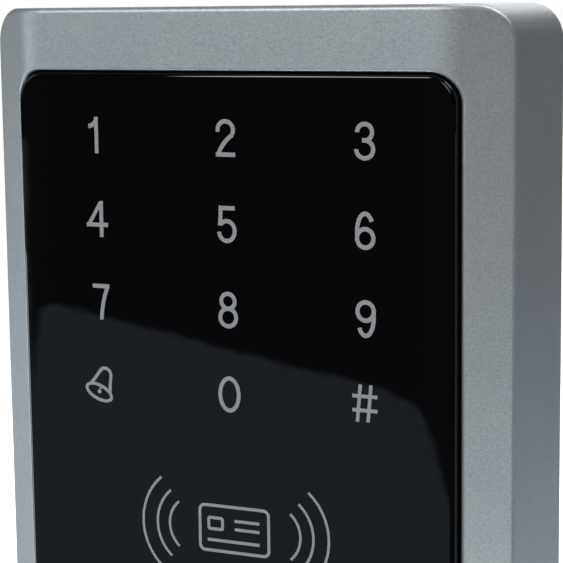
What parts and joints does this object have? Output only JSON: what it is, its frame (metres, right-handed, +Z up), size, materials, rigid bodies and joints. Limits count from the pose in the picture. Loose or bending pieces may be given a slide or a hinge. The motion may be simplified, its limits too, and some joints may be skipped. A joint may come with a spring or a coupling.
{
  "type": "rfid card reader",
  "caption": "Wall-mounted access reader: silver die-cast housing with sloping flanks, glossy black touch keypad panel and a card zone, hung on a steel wall plate.",
  "frame": {"origin": "middle of the wall plate's back face, which lies on the wall", "axes": "+Z up along the longest side, +Y into the wall, +X right as seen from the front"},
  "size_m": [0.082, 0.027, 0.128],
  "materials": {
    "silver_paint": "satin metallic silver paint on a die casting",
    "black_acrylic": "high gloss black",
    "legend_ink": "grey print under gloss",
    "smoked_lens": "dark translucent",
    "adhesive_foam": "matt foam tape",
    "white_diffuser": "opal",
    "circuit_board": "green solder resist",
    "copper": "bare and enamelled copper",
    "lamp_body": "white lamp package",
    "nylon": "natural nylon",
    "connector_plastic": "black moulding",
    "zinc_plated": "zinc plated",
    "chip_epoxy": "moulded epoxy",
    "tinned_metal": "tinned",
    "aluminium_can": "drawn can",
    "black_rubber": "matt rubber",
    "black_abs": "fine spark texture",
    "spring_steel": "drawn wire",
    "white_acetal": "moulded acetal",
    "galvanised_steel": "galvanised sheet",
    "stainless": "turned stainless"
  },
  "bodies": {
    "wall_mount": {"wall_plate": "galvanised_steel"},
    "reader": {"front_housing": "silver_paint", "touch_panel": "black_acrylic", "key_legends": "legend_ink", "card_symbol": "legend_ink", "status_windows": "smoked_lens", "panel_adhesive": "adhesive_foam", "light_diffuser": "white_diffuser", "touch_sensor_board": "circuit_board", "touch_electrodes": "copper", "backlight_leds": "lamp_body", "status_leds": "lamp_body", "board_spacers": "nylon", "board_connector": "connector_plastic", "main_board": "circuit_board", "board_screws": "zinc_plated", "coil_former": "nylon", "antenna_coil": "copper", "microcontroller": "chip_epoxy", "reader_chip": "chip_epoxy", "chip_leads": "tinned_metal", "voltage_regulator": "chip_epoxy", "crystal": "tinned_metal", "capacitors": "aluminium_can", "buzzer": "connector_plastic", "relay": "connector_plastic", "wire_header": "nylon", "header_pins": "tinned_metal", "cover_gasket": "black_rubber", "rear_cover": "black_abs", "cover_screws": "zinc_plated", "cable_grommet": "black_rubber", "tamper_switch": "connector_plastic", "tamper_spring": "spring_steel"},
    "tamper_pin": {"tamper_plunger": "white_acetal"},
    "lock_washer": {"security_washer": "stainless"},
    "lock_screw": {"security_screw": "stainless"}
  },
  "joints": [
    {"name": "reader_tilt", "type": "hinge", "parent": "wall_mount", "child": "reader", "pos_m": [0, -0.0021, 0.0608], "axis": [-1, 0, 0], "range_deg": [0, 15]},
    {"name": "tamper_travel", "type": "slide", "parent": "reader", "child": "tamper_pin", "axis": [0, 1, 0], "range_m": [0, 0.0012], "deforming": ["tamper_spring"]},
    {"name": "lock_travel", "type": "slide", "parent": "wall_mount", "child": "lock_washer", "axis": [0, 0, -1], "range_m": [0, 0.002]},
    {"name": "lock_turn", "type": "hinge", "parent": "lock_washer", "child": "lock_screw", "pos_m": [0, -0.004, -0.062], "axis": [0, 0, -1], "range_deg": [0, 1440]}
  ],
  "couplings": [
    {"joint": "lock_turn", "follows": "lock_travel", "rad_per_m": 12566}
  ]
}
